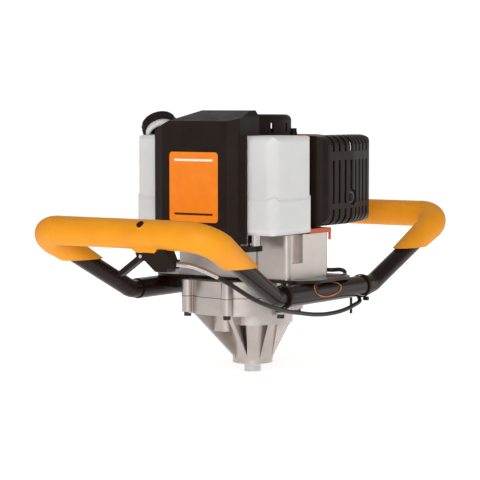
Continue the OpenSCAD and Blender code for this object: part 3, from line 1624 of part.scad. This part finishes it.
// Ties round the right sleeve that hold the cable; the far one keeps its tail
module cable_ties() {
    band = 4;
    head_z = -sleeve_r - 5;
    color("black") for (y = [3 - sleeve_len / 2, sleeve_len / 2 - 12]) translate([sleeve_x, y + band / 2, sleeve_z]) {
        rotate([90, 0, 0]) tube(sleeve_r + gap + 1.4, sleeve_r + gap, band);
        translate([y < 0 ? -8 : 4, -band, head_z]) cube([6, band, 4.4]);
        if (y > 0) translate([-sleeve_r - gap - 2, -band, -34.3]) cube([1.4, band, 36]);
    }
}

gearcase_lower();
gearcase_upper();
gearcase_screws();
oil_seal();
shaft_bearings();
output_shaft();
output_wheel();
countershaft();
counter_wheel();
clutch_drum();
clutch_shoes();
flywheel();
crankshaft();
starter_cup();
fan_case();
engine_screws();
crankcase_lower();
crankcase_upper();
piston();
piston_pin();
connecting_rod();
crank_pin();
cylinder_block();  // cylinder
cylinder_cover();
spark_plug();
plug_cap();
ignition_coil();
intake_flange();
carburettor();
throttle_lever();
choke_lever();
primer_bulb();
air_filter_base();
air_filter_element();
air_filter_cover();
muffler();
muffler_guard();
starter_housing();
starter_pulley();
starter_grip();
fuel_tank();
fuel_cap();
tank_guard();
tank_spacers();
handle_plate();
handle_sleeves();
sleeve_straps();
handle_bolts();
handle_front();
handle_rear();
grip_front();
grip_rear();
throttle_housing();
throttle_trigger();
trigger_pin();
stop_button();
cable_elbow();
throttle_cable();
cable_ties();
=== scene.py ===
import json
import math

import bmesh
import bpy
from mathutils import Matrix, Vector


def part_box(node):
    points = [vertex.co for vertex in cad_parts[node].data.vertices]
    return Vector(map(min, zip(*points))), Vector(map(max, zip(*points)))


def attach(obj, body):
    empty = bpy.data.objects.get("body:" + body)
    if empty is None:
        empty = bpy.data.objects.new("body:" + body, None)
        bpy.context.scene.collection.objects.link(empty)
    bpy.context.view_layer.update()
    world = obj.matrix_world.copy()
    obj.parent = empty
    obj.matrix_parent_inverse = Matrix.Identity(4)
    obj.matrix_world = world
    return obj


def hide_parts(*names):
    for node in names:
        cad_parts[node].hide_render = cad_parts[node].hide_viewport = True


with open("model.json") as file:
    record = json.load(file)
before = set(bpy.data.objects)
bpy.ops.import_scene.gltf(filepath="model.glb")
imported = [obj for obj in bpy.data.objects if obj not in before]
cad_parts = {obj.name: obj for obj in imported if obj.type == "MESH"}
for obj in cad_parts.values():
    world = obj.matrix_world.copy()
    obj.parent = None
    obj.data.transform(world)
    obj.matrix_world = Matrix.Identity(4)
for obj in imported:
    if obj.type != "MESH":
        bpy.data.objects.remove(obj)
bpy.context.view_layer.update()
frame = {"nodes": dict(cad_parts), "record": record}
scene = bpy.context.scene
MM = 0.001


# Camera at the photograph's height and angle, slightly off centre as the photograph is framed
azimuth = math.radians(34.01)
elevation = math.radians(4.38)
distance = 2.3234
aim = Vector((0, 0, 0.14355))
toward_camera = Vector((
    math.sin(azimuth) * math.cos(elevation),
    -math.cos(azimuth) * math.cos(elevation),
    math.sin(elevation),
))
lens = bpy.data.cameras.new("camera")
lens.lens = 145.75
lens.sensor_width = 36
lens.shift_x = -0.02625
lens.shift_y = 0.0236
camera = bpy.data.objects.new("camera", lens)
camera.location = aim + toward_camera * distance
camera.rotation_euler = toward_camera.to_track_quat("Z", "Y").to_euler()
scene.collection.objects.link(camera)
scene.camera = camera
scene.view_settings.view_transform = "Standard"


# Throttle cable: its solid's route from the elbow to the carburettor, with two bends by the rear tie eased
cable_route = (
    (108, -227.6, 135.2), (114, -205, 123), (120, -178, 108.5), (123, -150, 98), (122, -122, 91),
    (119, -98, 86.5), (117, -78, 83.5), (115, -42, 78.5), (114, -3, 76.5), (114, 28, 78.5),
    (113, 50, 82), (108, 68, 83.5), (100, 82, 84.6), (93, 90, 88.5), (83.5, 92, 98.5),
    (80, 83.5, 110), (86, 65, 120.5), (77, 50, 121.5), (56, 52, 122), (20, 66, 126),
    (-24, 68, 136), (-56, 62, 152), (-70, 52, 176), (-73, 46, 205), (-72, 49, 222), (-72, 50, 234.5),
)
cable_d = 5
cable_line = bpy.data.curves.new("throttle_cable_sleeve", "CURVE")
cable_line.dimensions = "3D"
# The bevel is of unit depth, and each point's radius gives the sleeve its real one
cable_line.bevel_depth = 1
cable_line.bevel_resolution = 5
cable_line.resolution_u = 10
cable_line.use_fill_caps = True
run = cable_line.splines.new("BEZIER")
run.bezier_points.add(len(cable_route) - 1)
for point, where in zip(run.bezier_points, cable_route):
    point.co = Vector(where) * MM
    point.radius = cable_d / 2 * MM
    point.handle_left_type = "AUTO"
    point.handle_right_type = "AUTO"
cable = bpy.data.objects.new("throttle_cable_sleeve", cable_line)
scene.collection.objects.link(cable)
bpy.context.view_layer.update()
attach(cable, "frame")
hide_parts("throttle_cable")


def linear(code):
    """sRGB hex to the linear colour that a shader takes."""
    parts = [int(code[i:i + 2], 16) / 255 for i in (1, 3, 5)]
    return tuple(c / 12.92 if c <= 0.04045 else ((c + 0.055) / 1.055) ** 2.4 for c in parts) + (1.0,)


def add(owner, kind, links=None, values=None, **settings):
    """A node of this kind in a material or world: its settings, its sockets' values and what feeds them."""
    made = owner.node_tree.nodes.new(kind)
    for name, value in settings.items():
        setattr(made, name, value)
    for socket, value in (values or {}).items():
        made.inputs[socket].default_value = value
    for socket, source in (links or {}).items():
        owner.node_tree.links.new(source, made.inputs[socket])
    return made


# The noise lies mostly between these two levels, which the tones and the gloss are spread over
CLOUD_LOW = 0.3
CLOUD_HIGH = 0.7
# How far the softened normal agrees with the true one, on an edge and on a flat
ON_EDGE = 0.72
ON_FLAT = 0.98
# Colour sockets of the Mix node, which share their names with its other sockets
MIX_SHARE = 0
MIX_UNDER = 6
MIX_OVER = 7
MIX_COLOUR = 2


def finish(name, tones, metallic, gloss, cloud_mm, skin_mm, depth_mm,
           drawn=None, rubbed=None, rub_mm=0.8, **shader):
    """A whole finish. Colour goes between the two tones, and roughness between the two of gloss, in patches
    of cloud_mm. The skin stands depth_mm deep with a grain of skin_mm. drawn pulls the pattern out along an
    axis, and rubbed is the colour of the edges, rub_mm wide. Steady values go to the shader's own sockets."""
    mat = bpy.data.materials.new(name)
    mat.use_nodes = True
    face = mat.node_tree.nodes["Principled BSDF"]
    join = mat.node_tree.links.new
    face.inputs["Metallic"].default_value = metallic
    for socket, value in shader.items():
        face.inputs[socket.replace("_", " ")].default_value = value
    where = add(mat, "ShaderNodeTexCoord").outputs["Object"]
    if drawn:
        where = add(mat, "ShaderNodeMapping", {"Vector": where}, {"Scale": drawn}).outputs["Vector"]
    cloud = add(mat, "ShaderNodeTexNoise", {"Vector": where},
                {"Scale": 1 / (cloud_mm * MM), "Detail": 4, "Roughness": 0.55}).outputs["Fac"]
    skin = add(mat, "ShaderNodeTexNoise", {"Vector": where},
               {"Scale": 1 / (skin_mm * MM), "Detail": 2, "Roughness": 0.5}).outputs["Fac"]
    tone = add(mat, "ShaderNodeValToRGB", {"Fac": cloud})
    for stop, level, code in zip(tone.color_ramp.elements, (CLOUD_LOW, CLOUD_HIGH), tones):
        stop.position = level
        stop.color = linear(code)
    colour = tone.outputs["Color"]
    if rubbed:
        soft = add(mat, "ShaderNodeBevel", values={"Radius": rub_mm * MM}, samples=6).outputs["Normal"]
        true = add(mat, "ShaderNodeNewGeometry").outputs["Normal"]
        agree = add(mat, "ShaderNodeVectorMath", {0: soft, 1: true}, operation="DOT_PRODUCT")
        edge = add(mat, "ShaderNodeMapRange", {"Value": agree.outputs["Value"]},
                   {"From Min": ON_EDGE, "From Max": ON_FLAT, "To Min": 1, "To Max": 0}).outputs["Result"]
        worn = add(mat, "ShaderNodeMix", {MIX_SHARE: edge, MIX_UNDER: colour}, {MIX_OVER: linear(rubbed)},
                   data_type="RGBA")
        colour = worn.outputs[MIX_COLOUR]
    join(colour, face.inputs["Base Color"])
    rough = add(mat, "ShaderNodeMapRange", {"Value": cloud},
                {"From Min": CLOUD_LOW, "From Max": CLOUD_HIGH, "To Min": gloss[0], "To Max": gloss[1]})
    join(rough.outputs["Result"], face.inputs["Roughness"])
    bump = add(mat, "ShaderNodeBump", {"Height": skin}, {"Distance": depth_mm * MM, "Strength": 0.5})
    join(bump.outputs["Normal"], face.inputs["Normal"])
    return mat


# Finishes of the record's slots, with grain too fine for the render drawn as coarse as it needs to show
finishes = {
    # Die-cast aluminium, shot-blasted: pale warm grey satin with a soft sandy skin and brighter edges
    "cast_aluminium": finish(
        "die_cast_aluminium", ("#B1A8A3", "#BFB6B1"), metallic=1.0, gloss=(0.3, 0.38),
        cloud_mm=22, skin_mm=1.6, depth_mm=0.04, rubbed="#C9C3BE"),
    # Turned aluminium: bright, with the fine rings that the lathe leaves
    "machined_aluminium": finish(
        "turned_aluminium", ("#BBBBBF", "#D2D2D5"), metallic=1.0, gloss=(0.26, 0.34),
        cloud_mm=0.9, skin_mm=0.9, depth_mm=0.02, drawn=(0.05, 0.05, 1)),
    # Ground steel: near a mirror, with hair-fine grinding lines round the shaft
    "ground_steel": finish(
        "ground_steel", ("#B4B2B1", "#D0CECD"), metallic=1.0, gloss=(0.16, 0.26),
        cloud_mm=0.8, skin_mm=0.8, depth_mm=0.01, drawn=(0.04, 0.04, 1)),
    # Hardened steel under a film of oil: dark grey with brown and blue patches and a wet gloss
    "hardened_steel": finish(
        "oiled_hard_steel", ("#5A5653", "#7B7D82"), metallic=1.0, gloss=(0.2, 0.38),
        cloud_mm=9, skin_mm=0.8, depth_mm=0.02),
    # Blackened steel screws: near black, rubbed bright along the edges of the heads
    "blackened_steel": finish(
        "blackened_steel", ("#302E2E", "#474444"), metallic=1.0, gloss=(0.3, 0.42),
        cloud_mm=3, skin_mm=0.6, depth_mm=0.02, rubbed="#9A9795", rub_mm=0.35),
    # Powder-coated steel tube: satin black with the slight ripple of baked powder
    "black_enamel": finish(
        "black_powder_coat", ("#190E0A", "#231510"), metallic=0.0, gloss=(0.18, 0.28),
        cloud_mm=24, skin_mm=2.2, depth_mm=0.04, Specular_IOR_Level=0.18, IOR=1.5),
    # Soft thermoplastic rubber of the grips: warm orange, matt and leathery, with slight handling marks
    "orange_grip": finish(
        "orange_soft_grip", ("#E08D0A", "#EA9910"), metallic=0.0, gloss=(0.5, 0.62),
        cloud_mm=34, skin_mm=1.6, depth_mm=0.06, Specular_IOR_Level=0.3, IOR=1.5),
    # Glass-filled nylon from a spark-eroded die: charcoal with a fine even grain, greyer on rubbed edges
    "black_plastic": finish(
        "black_nylon", ("#1B120E", "#231915"), metallic=0.0, gloss=(0.4, 0.5),
        cloud_mm=20, skin_mm=1.5, depth_mm=0.03, rubbed="#3A2E29", Specular_IOR_Level=0.11, IOR=1.53),
    # Heat-proof moulded nylon of the hood: burnt orange with a fine grain
    "orange_plastic": finish(
        "orange_nylon", ("#BC4E1E", "#C95A26"), metallic=0.0, gloss=(0.42, 0.52),
        cloud_mm=22, skin_mm=1.5, depth_mm=0.05, rubbed="#DC7840", Specular_IOR_Level=0.3, IOR=1.53),
    # Blow-moulded polyethylene of the tank: milky white, light goes a little way in, waxy skin
    "tank_plastic": finish(
        "milky_polyethylene", ("#DCD9D6", "#E3E0DD"), metallic=0.0, gloss=(0.5, 0.6),
        cloud_mm=40, skin_mm=3.0, depth_mm=0.04, Subsurface_Weight=0.8,
        Subsurface_Radius=(0.012, 0.011, 0.010), Subsurface_Scale=1.0, Specular_IOR_Level=0.15, IOR=1.53),
    # Chrome plate: a clear mirror with faint haze
    "bright_chrome": finish(
        "chrome_plate", ("#ABA8A7", "#BFBCBB"), metallic=1.0, gloss=(0.1, 0.18),
        cloud_mm=6, skin_mm=2.0, depth_mm=0.005),
    # Vinyl sleeve of the cable: black and smooth, with a faint ripple from the wire wound inside
    "cable_cover": finish(
        "vinyl_sleeve", ("#150D0B", "#1E1412"), metallic=0.0, gloss=(0.32, 0.42),
        cloud_mm=8, skin_mm=2.2, depth_mm=0.05, Specular_IOR_Level=0.24, IOR=1.52),
    # Moulded rubber: black and dull, dusty in places
    "black_rubber": finish(
        "moulded_rubber", ("#161414", "#242120"), metallic=0.0, gloss=(0.6, 0.72),
        cloud_mm=5, skin_mm=1.2, depth_mm=0.06, Specular_IOR_Level=0.25, IOR=1.52),
    # Clear rubber of the primer bulb: reddish and see-through, with soft gloss
    "clear_rubber": finish(
        "clear_red_rubber", ("#C0503A", "#CC5E44"), metallic=0.0, gloss=(0.16, 0.3),
        cloud_mm=4, skin_mm=1.5, depth_mm=0.01, Transmission_Weight=0.5, IOR=1.48),
    # Heat-proof paint on pressed steel: dull grey, browned by the exhaust
    "muffler_steel": finish(
        "heat_proof_paint", ("#4A4643", "#636364"), metallic=0.6, gloss=(0.5, 0.66),
        cloud_mm=24, skin_mm=1.4, depth_mm=0.06),
    # Pressed phenolic: dark brown with the flecks of its filler
    "phenolic": finish(
        "pressed_phenolic", ("#33241D", "#4A362B"), metallic=0.0, gloss=(0.4, 0.48),
        cloud_mm=1.6, skin_mm=1.2, depth_mm=0.03, IOR=1.6),
    # Open-cell foam: dark grey and rough, all pores
    "filter_foam": finish(
        "open_foam", ("#23272A", "#4A5053"), metallic=0.0, gloss=(0.85, 0.95),
        cloud_mm=1.6, skin_mm=1.6, depth_mm=0.7, IOR=1.45),
}

# Vinyl film of the front plate and the sleeve badge: flat even colour under a satin film
orange_film = finish(
    "orange_vinyl_film", ("#EC7B0E", "#F38616"), metallic=0.0, gloss=(0.3, 0.38),
    cloud_mm=16, skin_mm=4, depth_mm=0.02, Specular_IOR_Level=0.3, IOR=1.5)
white_film = finish(
    "white_vinyl_film", ("#EDE6DE", "#F6F1EB"), metallic=0.0, gloss=(0.36, 0.44),
    cloud_mm=8, skin_mm=4, depth_mm=0.02, IOR=1.5)
dark_film = finish(
    "dark_vinyl_film", ("#1C1513", "#28201C"), metallic=0.0, gloss=(0.3, 0.4),
    cloud_mm=8, skin_mm=4, depth_mm=0.02, Specular_IOR_Level=0.3, IOR=1.5)

# Joint sealant, squeezed out and wiped: brown-grey and dull
joint_sealant = finish(
    "joint_sealant", ("#4A413C", "#5B514B"), metallic=0.0, gloss=(0.6, 0.75),
    cloud_mm=3, skin_mm=1.2, depth_mm=0.05, IOR=1.45)

slot_of = {part["node"]: part["material_slot"] for part in frame["record"]["subparts"]}
for name, piece in frame["nodes"].items():
    for slot in piece.material_slots:
        slot.material = finishes[slot_of[name]]
cable_line.materials.append(finishes["cable_cover"])


def place(name, shape, mat, body):
    """A finished piece from a bmesh, riding on a body, with the finish that it is given."""
    bmesh.ops.recalc_face_normals(shape, faces=shape.faces)
    mesh = bpy.data.meshes.new(name)
    shape.to_mesh(mesh)
    shape.free()
    mesh.materials.append(mat)
    mesh.shade_smooth()
    mesh.set_sharp_from_angle(angle=math.radians(35))
    piece = bpy.data.objects.new(name, mesh)
    scene.collection.objects.link(piece)
    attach(piece, body)


def thicken(shape, way):
    """Draws the shape's faces out along this vector, into a closed sheet."""
    grown = bmesh.ops.extrude_face_region(shape, geom=shape.faces[:])["geom"]
    front = [v for v in grown if isinstance(v, bmesh.types.BMVert)]
    bmesh.ops.translate(shape, vec=way, verts=front)


def rounded_plate(width, height, corner, thick):
    """Thin plate with round corners, lying in X and Z and facing -Y, with its back at Y 0."""
    shape = bmesh.new()
    made = bmesh.ops.create_grid(shape, x_segments=1, y_segments=1, size=0.5)["verts"]
    bmesh.ops.transform(shape, matrix=Matrix.Rotation(math.radians(90), 4, "X"), verts=made)
    bmesh.ops.scale(shape, vec=(width, 1, height), verts=made)
    bmesh.ops.bevel(shape, geom=made, offset=corner, affect="VERTICES", segments=6, profile=0.5, material=-1)
    thicken(shape, (0, -thick, 0))
    return shape


# Plain front plate, with a pale rule above and a dark one below
guard_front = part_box("tank_guard")[0].y
plate_at = Vector((-6 * MM, guard_front, 224.2 * MM))
plate_size = (68, 80.5, 4)
plate_thick = 0.5
rule_size = (54, 2.4, 1.1)
rule_thick = 0.15
rule_up = 31
for name, (width, height, corner), lift, thick, up, film in (
    ("front_plate", plate_size, 0, plate_thick, 0, orange_film),
    ("front_plate_upper_rule", rule_size, plate_thick, rule_thick, rule_up, white_film),
    ("front_plate_lower_rule", rule_size, plate_thick, rule_thick, -rule_up, dark_film),
):
    shape = rounded_plate(width * MM, height * MM, corner * MM, thick * MM)
    bmesh.ops.translate(shape, vec=plate_at + Vector((0, -lift * MM, up * MM)), verts=shape.verts)
    place(name, shape, film, "frame")


# Oval badge that wraps the right sleeve: a plain dark field with an orange rim
sleeve_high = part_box("handle_sleeves")[1]
sleeve_r = 12.2 * MM
sleeve_x = sleeve_high.x - sleeve_r
sleeve_z = sleeve_high.z - sleeve_r
badge_y = -11 * MM
badge_turn = math.radians(25)
rim_size = (58, 21)
rim_thick = 0.3
field_size = (54.5, 17.8)
field_thick = 0.15
badge_rings = 6
ring_share = 0.07
for name, (width, height), lift, thick, film in (
    ("sleeve_badge_rim", rim_size, 0, rim_thick, orange_film),
    ("sleeve_badge", field_size, rim_thick, field_thick, dark_film),
):
    shape = bmesh.new()
    oval = bmesh.ops.create_circle(shape, cap_ends=True, segments=64, radius=1)["verts"]
    bmesh.ops.scale(shape, vec=(width / 2 * MM, height / 2 * MM, 1), verts=oval)
    for ring in range(badge_rings):
        middle = max(shape.faces, key=lambda face: len(face.verts))
        bmesh.ops.inset_region(shape, faces=[middle], thickness=height * ring_share * MM)
    thicken(shape, (0, 0, thick * MM))
    for v in shape.verts:
        out = sleeve_r + lift * MM + v.co.z
        turn = badge_turn + v.co.y / sleeve_r
        v.co = (sleeve_x + out * math.cos(turn), badge_y + v.co.x, sleeve_z + out * math.sin(turn))
    place(name, shape, film, "frame")


# Raised rim of the grip round the stop button, laid over the grip's round skin
grip_low, grip_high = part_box("grip_front")
grip_r = 16.5 * MM
button_x = 36 * MM
button_tilt = math.radians(45)
button_rim_r = 5.4 * MM
button_rim_wire = 1.0 * MM
weld = 0.01 * MM
shape = bmesh.new()
wire = bmesh.ops.create_circle(shape, segments=12, radius=button_rim_wire)["verts"]
stand = Matrix.Translation((button_rim_r, 0, 0)) @ Matrix.Rotation(math.radians(90), 4, "X")
bmesh.ops.transform(shape, matrix=stand, verts=wire)
bmesh.ops.spin(shape, geom=shape.verts[:] + shape.edges[:], cent=(0, 0, 0), axis=(0, 0, 1),
               angle=math.radians(360), steps=40, use_merge=True)
bmesh.ops.remove_doubles(shape, verts=shape.verts, dist=weld)
for v in shape.verts:
    v.co.z += math.sqrt(grip_r ** 2 - v.co.y ** 2)
on_grip = Matrix.Translation((button_x, grip_low.y + grip_r, grip_high.z - grip_r))
bmesh.ops.transform(shape, matrix=on_grip @ Matrix.Rotation(button_tilt, 4, "X"), verts=shape.verts)
place("stop_button_rim", shape, finishes["orange_grip"], "frame")


# Dark line at the gear case's joint: a band round the lower half's outer wall, a hair proud
joint_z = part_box("gearcase_lower")[1].z
line_h = 0.8 * MM
line_proud = 0.12 * MM
line_thick = 0.3 * MM
mesh_weld = 0.001 * MM
cut_weld = 0.0001 * MM
level_tilt = math.radians(60)
shape = bmesh.new()
shape.from_mesh(frame["nodes"]["gearcase_lower"].data)
bmesh.ops.remove_doubles(shape, verts=shape.verts, dist=mesh_weld)
bmesh.ops.bisect_plane(shape, geom=shape.verts[:] + shape.edges[:] + shape.faces[:], dist=cut_weld,
                       plane_co=(0, 0, joint_z - line_h), plane_no=(0, 0, 1), clear_inner=True)
shape.normal_update()
level_faces = [f for f in shape.faces if abs(f.normal.z) > math.cos(level_tilt)]
bmesh.ops.delete(shape, geom=level_faces, context="FACES")
reach = [max(shape.faces, key=lambda f: f.calc_center_median().xy.length)]
band = set(reach)
while reach:
    fresh = {f for edge in reach.pop().edges for f in edge.link_faces} - band
    band |= fresh
    reach += fresh
bmesh.ops.delete(shape, geom=[f for f in shape.faces if f not in band], context="FACES")
shape.normal_update()
for v in shape.verts:
    v.co += v.normal * line_proud
bmesh.ops.solidify(shape, geom=shape.faces[:], thickness=line_thick)
place("gearcase_joint_line", shape, joint_sealant, "frame")


# Pale light table: white acrylic lit from below, so that the undersides stay bright
table_half = 12
table_drop = 1.0 * MM
pale = finish(
    "pale_light_table", ("#F5F4F3", "#F7F6F5"), metallic=0.0, gloss=(0.7, 0.8),
    cloud_mm=300, skin_mm=40, depth_mm=0.05, Emission_Color=(1, 1, 1, 1), Emission_Strength=0.66)
shape = bmesh.new()
bmesh.ops.create_grid(shape, x_segments=1, y_segments=1, size=table_half)
bmesh.ops.translate(shape, vec=(0, 0, -table_drop), verts=shape.verts)
mesh = bpy.data.meshes.new("floor")
shape.to_mesh(mesh)
shape.free()
mesh.materials.append(pale)
floor = bpy.data.objects.new("floor", mesh)
scene.collection.objects.link(floor)


# Studio room: the backdrop is bright white, and the room gives the object less light than that
room_light = 0.38
backdrop_light = 1.05
sky = bpy.data.worlds.new("studio")
sky.use_nodes = True
background = sky.node_tree.nodes["Background"]
background.inputs["Color"].default_value = (1, 1, 1, 1)
seen = add(sky, "ShaderNodeLightPath").outputs["Is Camera Ray"]
glow = add(sky, "ShaderNodeMapRange", {"Value": seen}, {"To Min": room_light, "To Max": backdrop_light})
sky.node_tree.links.new(glow.outputs["Result"], background.inputs["Strength"])
scene.world = sky


# Soft boxes: the key from the front right, a fill above, and two behind for the right side and the back
part_middle = Vector((0, 0, 0.2))
for name, where, size, power in (
    ("key_light", (1.3, -2.2, 1.0), 1.3, 31),
    ("top_light", (-0.2, -0.6, 2.4), 1.6, 6),
    ("side_light", (1.5, 2.2, 0.4), 1.1, 4.5),
    ("back_light", (-1.6, 2.1, 1.2), 1.4, 4),
):
    lamp = bpy.data.lights.new(name, "AREA")
    lamp.size = size
    lamp.energy = power
    soft_box = bpy.data.objects.new(name, lamp)
    soft_box.location = where
    soft_box.rotation_euler = (Vector(where) - part_middle).to_track_quat("Z", "Y").to_euler()
    scene.collection.objects.link(soft_box)
